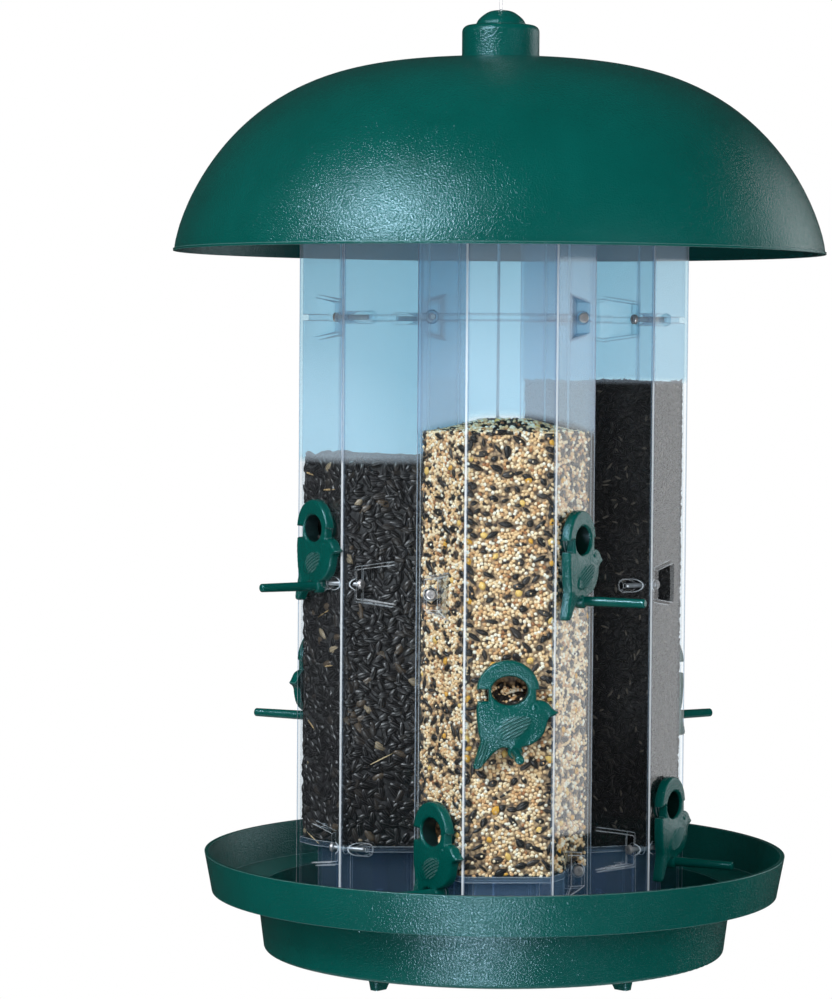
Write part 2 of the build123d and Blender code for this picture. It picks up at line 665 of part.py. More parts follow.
LOOP_NECK_Z = LOOP_FERRULE_Z + LOOP_FERRULE_LENGTH + LOOP_NECK
LOOP_WIDE_Z = LOOP_TOP - LOOP_HEIGHT
with BuildPart() as hanger_loop:
    with BuildLine():
        FilletPolyline(
            (-LEG_X, 0, LEG_END),
            (-LEG_X, 0, LOOP_NECK_Z),
            (-LOOP_HALF_WIDTH, 0, LOOP_WIDE_Z),
            (-LOOP_HALF_WIDTH, 0, LOOP_TOP),
            (LOOP_HALF_WIDTH, 0, LOOP_TOP),
            (LOOP_HALF_WIDTH, 0, LOOP_WIDE_Z),
            (LEG_X, 0, LOOP_NECK_Z),
            (LEG_X, 0, LEG_END),
            radius=[LEG_BEND_R, SIDE_BEND_R, TOP_BEND_R, TOP_BEND_R, SIDE_BEND_R, LEG_BEND_R],
        )
    with BuildSketch(Plane.XY.offset(LEG_END)):
        with Locations((-LEG_X, 0)):
            Circle(CABLE_R)
    sweep()
hanger_loop.part.label = "hanger_loop"
export_step(hanger_loop.part, "parts/hanger_loop.step")
print(f"hanger loop: bend radii {LEG_BEND_R}, {SIDE_BEND_R} and {TOP_BEND_R} mm")
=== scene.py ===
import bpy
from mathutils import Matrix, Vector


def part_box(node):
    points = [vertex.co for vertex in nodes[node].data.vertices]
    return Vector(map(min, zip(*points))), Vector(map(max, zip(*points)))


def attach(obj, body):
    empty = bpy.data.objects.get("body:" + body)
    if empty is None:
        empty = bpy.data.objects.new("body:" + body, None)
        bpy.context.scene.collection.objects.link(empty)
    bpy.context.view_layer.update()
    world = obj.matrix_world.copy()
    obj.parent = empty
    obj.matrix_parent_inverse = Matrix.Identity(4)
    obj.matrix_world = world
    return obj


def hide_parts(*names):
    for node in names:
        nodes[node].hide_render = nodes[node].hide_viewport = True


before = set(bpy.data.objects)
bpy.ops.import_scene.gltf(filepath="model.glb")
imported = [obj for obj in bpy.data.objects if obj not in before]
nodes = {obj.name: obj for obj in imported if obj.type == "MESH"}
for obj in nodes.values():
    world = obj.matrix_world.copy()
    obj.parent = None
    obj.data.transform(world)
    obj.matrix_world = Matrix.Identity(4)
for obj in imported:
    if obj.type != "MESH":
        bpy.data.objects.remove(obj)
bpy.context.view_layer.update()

from math import atan2, ceil, cos, pi, radians, sin

import bmesh
import bpy
import numpy as np
from mathutils import Matrix, Vector
from mathutils.bvhtree import BVHTree
from mathutils.geometry import delaunay_2d_cdt
from mathutils.kdtree import KDTree

# A hanging bird feeder: clear hexagonal tubes of seed in a green tray, under a green domed roof.
# Lengths are in metres. Outlines drawn in millimetres are scaled by MM.

MM = 0.001
SIDES = ("front", "right", "left")
LEVELS = ("low", "mid", "high")
FACE_TURN = {"high": 60, "mid": 0, "low": -60}

TUBE_APOTHEM = 38.0 * MM
TUBE_CORNER = TUBE_APOTHEM / cos(pi / 6)
TUBE_WALL = 1.8 * MM
SEED_GAP = 0.2 * MM
SEED_APOTHEM = TUBE_APOTHEM - TUBE_WALL - SEED_GAP
SEED_CORNER = SEED_APOTHEM / cos(pi / 6) - 0.5 * MM
CABLE_R = 0.8 * MM


def tube_centre(side):
    """The middle of a tube in plan."""
    low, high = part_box(f"tube_floor_{side}")
    return ((low.x + high.x) / 2, (low.y + high.y) / 2, 0.0)


def tube_place(side):
    """The matrix of a tube's own frame: +X out of the feeder, +Y to the right seen from outside."""
    x, y, _ = tube_centre(side)
    return Matrix.Translation((x, y, 0)) @ Matrix.Rotation(atan2(y, x), 4, "Z")


def outward(first):
    """Six directions out of a tube, 60 degrees apart. The first is at an angle in degrees from +X."""
    angles = [radians(first + 60 * step) for step in range(6)]
    return [Vector((cos(angle), sin(angle), 0)) for angle in angles]


def seed_top(side):
    """The height of the flat top of a tube's fill."""
    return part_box(f"seed_fill_{side}")[1].z


# ------------------------------------------------------------------------------------- shader nodes


def feed(tree, made, inputs):
    """Links the inputs of a node for which a socket is given, and sets the others."""
    for key, value in inputs.items():
        if isinstance(value, bpy.types.NodeSocket):
            tree.links.new(value, made.inputs[key])
        else:
            made.inputs[key].default_value = value


def node(tree, kind, inputs=None, **settings):
    """A new shader node."""
    made = tree.nodes.new(kind)
    for key, value in settings.items():
        setattr(made, key, value)
    feed(tree, made, inputs or {})
    return made


def scalar_op(tree, operation, *values):
    """What a Math node makes of some values."""
    return node(tree, "ShaderNodeMath", dict(enumerate(values)), operation=operation).outputs["Value"]


def vector_op(tree, operation, *values, result="Vector"):
    """What a Vector Math node makes of some values."""
    inputs = dict(enumerate(values))
    return node(tree, "ShaderNodeVectorMath", inputs, operation=operation).outputs[result]


def ramp(tree, value, stops, interpolation="LINEAR"):
    """The colour for a value, from stops of (place, colour)."""
    made = node(tree, "ShaderNodeValToRGB", {"Fac": value})
    made.color_ramp.interpolation = interpolation
    elements = made.color_ramp.elements
    while len(elements) < len(stops):
        elements.new(0.5)
    for element, (place, colour) in zip(elements, stops):
        element.position = place
        element.color = (*colour, 1.0)
    return made.outputs["Color"]


def spread(tree, value, low, high, start=0.0, end=1.0):
    """A value between start and end, mapped to low and high."""
    limits = {"Value": value, "From Min": start, "From Max": end, "To Min": low, "To Max": high}
    return node(tree, "ShaderNodeMapRange", limits).outputs["Result"]


def mixed(tree, share, first, second):
    """A socket's colour, with a share of a second colour mixed in."""
    inputs = {"Factor": share, "A": first, "B": (*second, 1.0)}
    return node(tree, "ShaderNodeMix", inputs, data_type="RGBA").outputs["Result"]


def noise(tree, coords, scale, detail=2.0, roughness=0.5):
    """Cloudy values from 0 to 1. A larger scale makes them finer."""
    settings = {"Vector": coords, "Scale": scale, "Detail": detail, "Roughness": roughness}
    return node(tree, "ShaderNodeTexNoise", settings).outputs["Fac"]


def bumped(tree, height, distance, invert=False, **inputs):
    """The surface's normal, bent by a height that stands up to a distance proud."""
    inputs.update(Height=height, Distance=distance)
    return node(tree, "ShaderNodeBump", inputs, invert=invert).outputs["Normal"]


def rounded_edges(tree, radius):
    """A normal that is rounded over edges, and how far it agrees with the real one: 1 on the flat."""
    rounded = node(tree, "ShaderNodeBevel", {"Radius": radius}, samples=6).outputs["Normal"]
    real = node(tree, "ShaderNodeNewGeometry").outputs["Normal"]
    return rounded, vector_op(tree, "DOT_PRODUCT", rounded, real, result="Value")


def new_material(name):
    """A material, its node tree, its Principled shader and its object coordinates."""
    made = bpy.data.materials.new(name)
    made.use_nodes = True
    tree = made.node_tree
    coords = node(tree, "ShaderNodeTexCoord").outputs["Object"]
    return made, tree, tree.nodes["Principled BSDF"], coords


# ---------------------------------------------------------------------------------------- materials

WHITE = (1.0, 1.0, 1.0)

# Green plastic: how far its edges are rounded, the pale tone of the highlight painted along them, and the
# tone of its gloss.
SOFT_EDGE = 0.7 * MM
EDGE_HIGHLIGHT_GREEN = (0.3, 0.5, 0.52)
COOL_GLOSS = (0.5, 0.8, 1.0, 1.0)

# Clear plastic: how wide the painted highlight and shade lines along its edges are, how far from the
# tube's middle its painted corner highlights start, and how softly those lines and the seed's level
# end. CORNER_SHADE is how wide the painted shade beside the corner highlights is.
EDGE_LIGHT_AND_SHADE_REACH = 1.1 * MM
CORNER_HIGHLIGHT_START = TUBE_CORNER - 0.41 * MM
CORNER_FADE = 0.04 * MM
CORNER_SHADE = 0.4 * MM
LEVEL_BLUR = 2 * MM


def moulded_green(name, dark, light, pebble_height, rough_low, rough_high):
    """Green plastic between a dark and a light tone, with a highlight painted in paler green along
    its edges. The mould leaves a fine pebble on it, which breaks up its highlights."""
    made, tree, shader, coords = new_material(name)
    cloud = noise(tree, coords, 26.0, detail=4.0, roughness=0.6)
    soft_edges, agreement = rounded_edges(tree, SOFT_EDGE)
    # Painted highlight: where the rounded normal bends away from the flat one, the base colour turns paler
    # green, standing in for light caught by the edges.
    painted_edge_highlight = spread(tree, agreement, 0.0, 0.35, start=0.95, end=0.8)
    base = ramp(tree, cloud, [(0.3, dark), (0.7, light)])
    cells = {"Vector": coords, "Scale": 1250.0}
    pebble = node(tree, "ShaderNodeTexVoronoi", cells, feature="SMOOTH_F1").outputs["Distance"]
    height = scalar_op(tree, "ADD", pebble, noise(tree, coords, 1900.0, detail=1.0))
    feed(tree, shader, {
        "Base Color": mixed(tree, painted_edge_highlight, base, EDGE_HIGHLIGHT_GREEN),
        "Normal": bumped(tree, height, pebble_height, Normal=soft_edges),
        "Roughness": spread(tree, cloud, rough_low, rough_high, start=0.3, end=0.7),
        "Specular Tint": COOL_GLOSS,
    })
    return made


def above_level(tree, offset, level, bow):
    """0 under a level and 1 over it. The level bows down towards the tube's sides."""
    across, _, height = node(tree, "ShaderNodeSeparateXYZ", {0: offset}).outputs
    share = scalar_op(tree, "DIVIDE", across, TUBE_APOTHEM)
    bowed = scalar_op(tree, "MULTIPLY_ADD", scalar_op(tree, "MULTIPLY", share, share), bow, height)
    return spread(tree, bowed, 0.0, 1.0, start=level - LEVEL_BLUR, end=level + LEVEL_BLUR)


def clear_tint(tree, above, facing, reach, low, high):
    """The tint of clear plastic, from low to high, deeper where it is seen edge-on, with painted shade
    beside the painted highlight lines down its corners."""
    body = ramp(tree, above, [(0.0, low), (1.0, high)])
    edge_on = ramp(tree, facing, [(0.6, WHITE), (0.97, (0.62, 0.76, 0.87))])
    # Painted shade in a narrow band just inside each corner's painted highlight.
    near_corner = spread(tree, reach, 0.0, 1.0, start=CORNER_HIGHLIGHT_START - CORNER_SHADE, end=CORNER_HIGHLIGHT_START)
    painted_corner_shade = ramp(tree, near_corner, [(0.0, WHITE), (0.5, (0.55, 0.66, 0.78)), (1.0, (0.9, 0.95, 1.0))])
    return vector_op(tree, "MULTIPLY", vector_op(tree, "MULTIPLY", body, edge_on), painted_corner_shade)


def clear_plastic(name, rough, low, high, milk, level, bow, centre):
    """Clear moulded plastic, with painted highlight lines along its edges and down the corners of the
    tube round a centre. Each of low and high is a tint and how much haze there is, and milk is the
    haze's colour. low is for plastic under a level, with seed against it, and high is for the empty
    plastic over it, which is bluer and hazier, with painted shade along its edges."""
    made, tree, shader, coords = new_material(name)
    offset = vector_op(tree, "SUBTRACT", coords, centre)
    reach = vector_op(tree, "LENGTH", vector_op(tree, "MULTIPLY", offset, (1, 1, 0)), result="Value")
    above = above_level(tree, offset, level, bow)
    facing = node(tree, "ShaderNodeLayerWeight", {"Blend": 0.5}).outputs["Facing"]
    wear = noise(tree, coords, 320.0, detail=5.0, roughness=0.65)

    tint = clear_tint(tree, above, facing, reach, low[0], high[0])
    see_through = node(tree, "ShaderNodeBsdfTransparent", {"Color": tint}).outputs[0]
    gloss_rough = spread(tree, wear, rough, 2.2 * rough)
    gloss = node(tree, "ShaderNodeBsdfAnisotropic", {"Roughness": gloss_rough}).outputs[0]
    mirror = spread(tree, scalar_op(tree, "POWER", facing, 5.0), 0.04, 0.9)
    surface = node(tree, "ShaderNodeMixShader", {0: mirror, 1: see_through, 2: gloss}).outputs[0]

    # Painted highlight and shade: a pale line along each sharp edge and down each corner of the tube, and
    # over the seed's level the edges are painted dark.
    _, agreement = rounded_edges(tree, EDGE_LIGHT_AND_SHADE_REACH)
    edge = spread(tree, agreement, 0.0, 0.6, start=0.96, end=0.82)
    corner = spread(tree, reach, 0.0, 0.65, start=CORNER_HIGHLIGHT_START, end=CORNER_HIGHLIGHT_START + CORNER_FADE)
    line = scalar_op(tree, "MAXIMUM", edge, corner)
    dust = scalar_op(tree, "MULTIPLY", wear, 0.004)
    haze = scalar_op(tree, "ADD", spread(tree, above, low[1], high[1]), dust)
    # The haze's own colour, paling to a painted highlight along the lines.
    pale = ramp(tree, line, [(0.05, milk), (0.3, (0.8, 0.88, 0.95))])
    painted_edge_shade = scalar_op(tree, "MULTIPLY", edge, above)
    shade = ramp(tree, painted_edge_shade, [(0.05, WHITE), (0.3, (0.12, 0.17, 0.3))])
    feed(tree, shader, {"Base Color": vector_op(tree, "MULTIPLY", pale, shade), "Roughness": 0.4})

    cover = scalar_op(tree, "MAXIMUM", haze, line)
    hazy = node(tree, "ShaderNodeMixShader", {0: cover, 1: surface, 2: shader.outputs[0]})
    feed(tree, tree.nodes["Material Output"], {"Surface": hazy.outputs[0]})
    return made


def steel(name, rough, base):
    """Zinc-plated steel with a faint grain."""
    made, tree, shader, coords = new_material(name)
    grain = noise(tree, coords, 900.0, detail=4.0, roughness=0.6)
    bright = tuple(1.25 * channel for channel in base)
    feed(tree, shader, {
        "Base Color": ramp(tree, grain, [(0.3, base), (0.75, bright)]),
        "Normal": bumped(tree, grain, 0.02 * MM),
        "Roughness": spread(tree, grain, rough, rough + 0.15),
        "Metallic": 0.6,
    })
    return made


def husk(name, tones, rough, stripe=None):
    """Seed hulls. Each seed takes one of the tones, and stripe darkens or pales lines along it."""
    made, tree, shader, coords = new_material(name)
    pick = node(tree, "ShaderNodeNewGeometry").outputs["Random Per Island"]
    fine = noise(tree, coords, 1500.0, detail=3.0, roughness=0.6)
    worn = {"Color": ramp(tree, pick, tones, "CONSTANT"), "Value": spread(tree, fine, 0.75, 1.3)}
    colour = node(tree, "ShaderNodeHueSaturation", worn).outputs["Color"]
    if stripe:
        unwrapped = node(tree, "ShaderNodeUVMap", uv_map="hull").outputs["UV"]
        round_it = node(tree, "ShaderNodeSeparateXYZ", {0: unwrapped}).outputs["X"]
        waves = scalar_op(tree, "MULTIPLY", scalar_op(tree, "ADD", round_it, pick), 5.0)
        line = spread(tree, scalar_op(tree, "FRACT", waves), 0.0, 1.0, start=0.76, end=0.9)
        colour = mixed(tree, line, colour, stripe)
    feed(tree, shader, {
        "Base Color": colour,
        "Normal": bumped(tree, fine, 0.03 * MM),
        "Roughness": rough,
        "Specular IOR Level": 0.24,
    })
    return made


def bed_skin(name, dark, light, scale):
    """What shows in the gaps between the outer seeds: more of the same, in shade."""
    made, tree, shader, coords = new_material(name)
    cells = node(tree, "ShaderNodeTexVoronoi", {"Vector": coords, "Scale": scale}).outputs["Distance"]
    feed(tree, shader, {
        "Base Color": ramp(tree, cells, [(0.15, light), (0.75, dark)]),
        "Normal": bumped(tree, cells, 0.8 * MM, invert=True),
        "Roughness": 0.8,
    })
    return made


DEEP_TEAL, TEAL = (0.0, 0.062, 0.052), (0.0, 0.074, 0.063)
# Painted shade: the inside of each port's hole is the same green plastic, painted near black to stand in
# for the shadow in the hole.
DEEP_SHADE, SHADE = (0.0, 0.006, 0.005), (0.001, 0.012, 0.01)
green = moulded_green("green_pebbled", DEEP_TEAL, TEAL, 0.19 * MM, 0.17, 0.2)
green_smooth = moulded_green("green_smooth", DEEP_TEAL, TEAL, 0.12 * MM, 0.18, 0.24)
painted_shade_throat = moulded_green("painted_shade_throat", DEEP_SHADE, SHADE, 0.1 * MM, 0.4, 0.55)
plated = steel("plated_steel", 0.25, (0.4, 0.41, 0.43))
wire_steel = steel("cable_steel", 0.3, (0.78, 0.8, 0.83))


# -------------------------------------------------------------------------------- the frame's nodes


def paint(piece, *finishes):
    """Gives a piece these materials and no others. Its faces keep the numbers of their slots."""
    slots = piece.data.materials
    while len(slots) < len(finishes):
        slots.append(None)
    while len(slots) > len(finishes):
        slots.pop()
    for index, finish in enumerate(finishes):
        slots[index] = finish


FINISHES = {
    "perch": green_smooth,
    "seam_screws": plated,
    "base_screws": plated,
    "bottom": plated,
    "loop_ferrule": plated,
    "hanger_loop": wire_steel,
    "top_spider": green,
    "roof": green,
    "tray": green,
}
for name, piece in nodes.items():
    for start, finish in FINISHES.items():
        if name.startswith(start):
            paint(piece, finish)

# Clear plastic with seed against it, empty plastic and the tubes' floors: a tint, and how much haze.
SEEDED = ((0.95, 0.975, 0.99), 0.0)
EMPTY = ((0.77, 0.94, 1.0), 0.18)
UNDER_SEED = ((0.75, 0.86, 0.98), 0.2)

# A level over the whole feeder, for the floors, which look the same all over.
OVER_ALL = 1.0

# The colour of each tube's haze, in its walls and its floor. The floors are the same plastic, and
# their haze colours differ as painted light and shade: the front tube's floor is painted lighter and
# the side tubes' floors darker. The walls look empty from lift over the top of the seed, and that
# level falls by bow towards the tube's sides, in millimetres.
TUBE_LOOKS = {
    "front": {"walls": (0.78, 0.83, 0.93), "floor": (0.36, 0.52, 0.7), "lift": 4.5, "bow": 7.0},
    "right": {"walls": (0.78, 0.83, 0.94), "floor": (0.2, 0.28, 0.38), "lift": 0.5, "bow": 0.0},
    "left": {"walls": (0.86, 0.91, 1.0), "floor": (0.14, 0.2, 0.28), "lift": -2.0, "bow": 0.0},
}
for side, look in TUBE_LOOKS.items():
    level, bow, centre = seed_top(side) + look["lift"] * MM, look["bow"] * MM, tube_centre(side)
    walls = clear_plastic(f"clear_wall_{side}", 0.05, SEEDED, EMPTY, look["walls"], level, bow, centre)
    base = clear_plastic(
        f"clear_floor_{side}", 0.12, UNDER_SEED, UNDER_SEED, look["floor"], OVER_ALL, 0.0, centre
    )
    paint(nodes[f"tube_shell_outer_{side}"], walls)
    paint(nodes[f"tube_shell_inner_{side}"], walls)
    paint(nodes[f"tube_floor_{side}"], base)


def add_piece(name, mesh, body, slot, *finishes, replaces=()):
    """Puts a mesh in the scene as a piece of the object."""
    piece = bpy.data.objects.new(name, mesh)
    bpy.context.scene.collection.objects.link(piece)
    paint(piece, *finishes)
    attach(piece, body)
    if replaces:
        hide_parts(*replaces)
    return piece


# --------------------------------------------------------------------------------------------- ports

# A port in its own plane, in millimetres, with the middle of its hole at the origin and +Y up.
RELIEF = 4.5
EDGE_R = 1.3
HOLE = (8.8, 6.9)
SLEEVE = (9.9, 8.0)
SLEEVE_DEPTH = 4.3
BACK = 0.06
HOOD_R = 15.1
HOOD_CENTRE = (-0.7, -0.5)
HOOD_TOP = (HOOD_R + HOOD_CENTRE[1]) * MM
GAP_LOW, GAP_HIGH = -5.2, 0.5
GAP_LEFT, NOTCH_RIGHT = -10.15, 12.8
NAPE = (NOTCH_RIGHT, -4.5)
PERCH_AT = (2.8, -29.5)
PERCH_FOOT_R = 3.6
PERCH_FOOT_ARC = (150, 388)
BACK_LINE = [(-15.4, -5.2), (-15.8, -10.0), (-15.5, -15.0), (-14.9, -20.0), (-13.8, -24.5)]
TAIL_TIP = [(-17.2, -36.0), (-17.0, -37.3), (-15.4, -37.9), (-13.4, -37.2)]
UNDER_TAIL = [(-13.4, -37.2), (-9.6, -32.4), (-6.3, -29.1), (-3.2, -27.5), (-0.4, -27.9)]
BREAST_LINE = [(6.2, -27.2), (10.2, -26.0), (13.5, -24.0), (16.0, -21.3), (17.5, -18.0), (18.4, -14.2)]
UNDER_BILL = [(18.4, -14.2), (19.4, -12.9), (21.4, -11.9), (23.6, -10.5)]
HEAD_LINE = [(23.6, -10.5), (21.7, -9.3), (20.3, -8.0), (18.9, -6.4), (17.0, -5.2), (14.9, -4.6)]
FINE_STEP = 0.42
SAME_POINT = 1e-5
CREASE = radians(42)
SHADED_THROAT_SLOT = 1

# The bird's relief: where each part of it is, how far it reaches, and how high it stands.
BREAST, BREAST_REACH = (3.0, -16.0), (13.0, 8.5)
HEAD, HEAD_REACH, HEAD_RISE = (13.0, -10.0), (5.0, 5.0), 0.45
WING, WING_HALF, WING_TURN = (1.5, -17.5), (10.5, 5.2), 27
WING_RISE, QUILL_RISE, QUILLS = 0.45, 0.42, 3.4
TAIL, TAIL_HALF, TAIL_TURN = (-13.0, -30.5), (8.0, 3.0), 72
TAIL_RISE, TAIL_FEATHERS = 0.28, 2.1
EYE, EYE_RISE = (11.7, -7.8), 0.4
SOCKET_R, SOCKET_DEPTH = 1.5, 0.25
DOWN_RISE = 0.1


def through(points, step=0.5):
    """A Catmull-Rom line through the points, as points about step apart, without its end."""
    before, after = 2 * np.array(points[0]) - points[1], 2 * np.array(points[-1]) - points[-2]
    knots = np.array([before, *points, after])
    line = []
    for a, b, c, d in zip(knots, knots[1:], knots[2:], knots[3:]):
        count = max(2, int(np.linalg.norm(c - b) / step))
        t = np.arange(count)[:, None] / count
        squared, cubed = 2 * a - 5 * b + 4 * c - d, 3 * b - a - 3 * c + d
        line.append(0.5 * (2 * b + (c - a) * t + squared * t**2 + cubed * t**3))
    return np.vstack(line)


def straight(start, end, step=0.5):
    """Points along a straight line, without its end."""
    start, end = np.array(start, float), np.array(end, float)
    count = max(1, int(np.linalg.norm(end - start) / step))
    return start + (end - start) * (np.arange(count) / count)[:, None]


def arc(centre, radius, start, end, step=0.5):
    """Points along an arc, in degrees."""
    count = max(3, int(abs(radians(end - start)) * radius / step))
    turn = np.radians(np.linspace(start, end, count))
    return np.column_stack([centre[0] + radius * np.cos(turn), centre[1] + radius * np.sin(turn)])


def ellipse(radii, count=88):
    """Points round an ellipse at the origin."""
    turn = np.arange(count) * 2 * pi / count
    return np.column_stack([radii[0] * np.cos(turn), radii[1] * np.sin(turn)])


def port_outline():
    """The hood over the hole and the bird below it, as one closed line."""
    rise = np.degrees(np.arcsin((GAP_HIGH - HOOD_CENTRE[1]) / HOOD_R))
    hood = arc(HOOD_CENTRE, HOOD_R, rise, 180 - rise)
    notch_top, gap_top, gap_foot = (NOTCH_RIGHT, GAP_HIGH), (GAP_LEFT, GAP_HIGH), (GAP_LEFT, GAP_LOW)
    return np.vstack(
        [
            through(BACK_LINE),
            straight(BACK_LINE[-1], TAIL_TIP[0]),
            through(TAIL_TIP, 0.3),
            through(UNDER_TAIL),
            arc(PERCH_AT, PERCH_FOOT_R, *PERCH_FOOT_ARC, 0.4),
            through(BREAST_LINE),
            through(UNDER_BILL, 0.3),
            through(HEAD_LINE, 0.4),
            straight(HEAD_LINE[-1], NAPE),
            straight(NAPE, notch_top),
            straight(notch_top, hood[0]),
            hood,
            straight(hood[-1], gap_top)[1:],
            straight(gap_top, gap_foot),
            straight(gap_foot, BACK_LINE[0]),
        ]
    )


def inside(points, outline):
    """Which points lie within a closed outline."""
    found = np.zeros(len(points), bool)
    x, y = points.T
    for (x1, y1), (x2, y2) in zip(outline, np.roll(outline, -1, 0)):
        if y1 != y2:
            found ^= ((y1 > y) != (y2 > y)) & (x < (x2 - x1) * (y - y1) / (y2 - y1) + x1)
    return found


def to_nearest(points, others):
    """How far each point is from the nearest of some others."""
    return np.array([np.min(np.hypot(*(others - point).T)) for point in points])


def smoothstep(value, start, end):
    """0 up to a start and 1 from an end, with a smooth step between them."""
    t = np.clip((value - start) / (end - start), 0, 1)
    return t * t * (3 - 2 * t)


def swell(points, centre, reach):
    """A smooth hump: 1 at its centre, and less away from it."""
    across, up = ((points - centre) / reach).T
    return np.exp(-(across**2) - up**2)


def leaf(points, centre, half, turn):
    """Coordinates along and across a leaf shape, and how far inside it a point is (0 at its edge)."""
    offset = points - centre
    c, s = cos(radians(turn)), sin(radians(turn))
    along = (offset @ (c, s)) / half[0]
    across = (offset @ (-s, c)) / half[1]
    return along, across, 1 - (along**2 + np.abs(across) ** 1.6)


def relief_height(points, edge):
    """How far the port stands out at each point, whose distance from the rim is edge: a rounded
    edge, a full breast and head, a folded wing and a tail with feather lines, an eye and fine down."""
    x, y = points.T
    height = RELIEF - EDGE_R + np.sqrt(np.maximum(EDGE_R**2 - np.maximum(EDGE_R - edge, 0) ** 2, 0))
    height += swell(points, BREAST, BREAST_REACH) * smoothstep(edge, 0, 5)
    height += HEAD_RISE * swell(points, HEAD, HEAD_REACH) * smoothstep(edge, 0, 3)

    along, across, within = leaf(points, WING, WING_HALF, WING_TURN)
    wing = smoothstep(within, 0.0, 0.25)
    quills = np.cos(2 * pi * (across * QUILLS + 0.7 * along**2)) * smoothstep(along, -1.0, -0.2)
    height += wing * (WING_RISE + QUILL_RISE * quills * smoothstep(within, 0.02, 0.3))

    _, across, within = leaf(points, TAIL, TAIL_HALF, TAIL_TURN)
    height += smoothstep(within, 0.0, 0.4) * TAIL_RISE * np.cos(2 * pi * across * TAIL_FEATHERS)

    from_eye = np.hypot(x - EYE[0], y - EYE[1])
    socket = np.exp(-(((from_eye - SOCKET_R) / 0.35) ** 2))
    height += EYE_RISE * smoothstep(-from_eye, -0.95, -0.45) - SOCKET_DEPTH * socket

    down = np.sin(x * 3.1 + 1.7 * np.sin(y * 1.9)) * np.sin(y * 3.7 + 1.3 * np.sin(x * 2.3))
    below_hole = smoothstep(-y, 6.5, 9.0)
    return height + DOWN_RISE * down * below_hole * (1 - wing)


def grid_between(outline, hole):
    """Staggered points FINE_STEP apart within an outline, outside its hole and clear of both."""
    low, high = outline.min(0), outline.max(0)
    across, up = np.meshgrid(*(np.arange(a, b, FINE_STEP) for a, b in zip(low, high)))
    across = across + FINE_STEP / 2 * (np.arange(len(up)) % 2)[:, None]
    grid = np.column_stack([across.ravel(), up.ravel()])
    grid = grid[inside(grid, outline) & ~inside(grid, hole)]
    return grid[to_nearest(grid, np.vstack([outline, hole])) > 0.6 * FINE_STEP]


def triangles_between(outline, hole, *extra):
    """Triangles between an outline and its hole, through any extra points: points and faces."""
    flat = np.vstack([outline, hole, *extra])
    edges, start = [], 0
    for loop in (outline, hole):
        edges += [(start + i, start + (i + 1) % len(loop)) for i in range(len(loop))]
        start += len(loop)
    points, _, faces, *_ = delaunay_2d_cdt([Vector(p) for p in flat], edges, [], 0, SAME_POINT)
    points = np.array([tuple(p) for p in points])
    middles = np.array([points[list(face)].mean(0) for face in faces])
    keep = inside(middles, outline) & ~inside(middles, hole)
    return points, [tuple(face) for face, kept in zip(faces, keep) if kept]


def raise_points(bm, points, heights):
    """New corners over flat points, at one height or at one for each."""
    heights = np.broadcast_to(heights, len(points))
    return [bm.verts.new((x * MM, y * MM, height * MM)) for (x, y), height in zip(points, heights)]


def wall(bm, top, bottom, finish=0):
    """Faces between two rings of corners."""
    for i in range(len(top)):
        j = (i + 1) % len(top)
        bm.faces.new((top[i], bottom[i], bottom[j], top[j])).material_index = finish


def port_mesh():
    """A port as one closed mesh in its own plane, in metres."""
    outline, hole, sleeve = port_outline(), ellipse(HOLE), ellipse(SLEEVE)
    bm = bmesh.new()
    points, faces = triangles_between(outline, hole, grid_between(outline, hole))
    edge = to_nearest(points, np.vstack([outline, hole]))
    front = raise_points(bm, points, relief_height(points, edge))
    for a, b, c in faces:
        bm.faces.new((front[a], front[b], front[c]))
    points, faces = triangles_between(outline, sleeve)
    back = raise_points(bm, points, BACK)
    for a, b, c in faces:
        bm.faces.new((back[a], back[c], back[b]))
    rim, inner = slice(0, len(outline)), slice(len(outline), len(outline) + len(hole))
    wall(bm, front[rim], back[rim])
    deep_hole = raise_points(bm, hole, -SLEEVE_DEPTH)
    deep_sleeve = raise_points(bm, sleeve, -SLEEVE_DEPTH)
    # The hole's inner wall takes the second slot: the green painted in shade.
    wall(bm, deep_hole, front[inner], finish=SHADED_THROAT_SLOT)
    wall(bm, deep_sleeve, deep_hole)
    wall(bm, back[inner], deep_sleeve)
    bmesh.ops.recalc_face_normals(bm, faces=bm.faces)
    for face in bm.faces:
        face.smooth = True
    mesh = bpy.data.meshes.new("port")
    bm.to_mesh(mesh)
    bm.free()
    mesh.set_sharp_from_angle(angle=CREASE)
    return mesh


def port_place(side, level):
    """The matrix of a port's plane: +Z out of the tube's face, +Y up, at the hole's centre."""
    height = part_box(f"port_{side}_{level}")[1].z - HOOD_TOP
    turn = radians(FACE_TURN[level])
    out = Vector((cos(turn), sin(turn), 0))
    across = Vector((-out.y, out.x, 0))
    plane = Matrix((across, Vector((0, 0, 1)), out)).transposed().to_4x4()
    return tube_place(side) @ Matrix.Translation(out * TUBE_APOTHEM + Vector((0, 0, height))) @ plane


port_shape = port_mesh()
for side in SIDES:
    for level in LEVELS:
        mesh = port_shape.copy()
        mesh.transform(port_place(side, level))
        cad_name = f"port_{side}_{level}"
        finishes = (green, painted_shade_throat)
        add_piece(f"bird_{cad_name}", mesh, "feeder", "green_plastic", *finishes, replaces=[cad_name])


# ---------------------------------------------------------------------------------------------- seed

rng = np.random.default_rng(26)

# How full a hull stays towards its ends, how many spots are tried for each place, how far the bed of
# seed is inside the fill, how near its top counts as the top, how far a seed's tip may stick out,
# and how near its middle may come to the seeds of another kind.
FULLNESS = 0.75
TRIES = 3.2
BED_DEPTH = 1.3 * MM
TOP_BAND = 0.5 * MM
LOOSE = 2.2 * MM
APART = 0.9 * MM

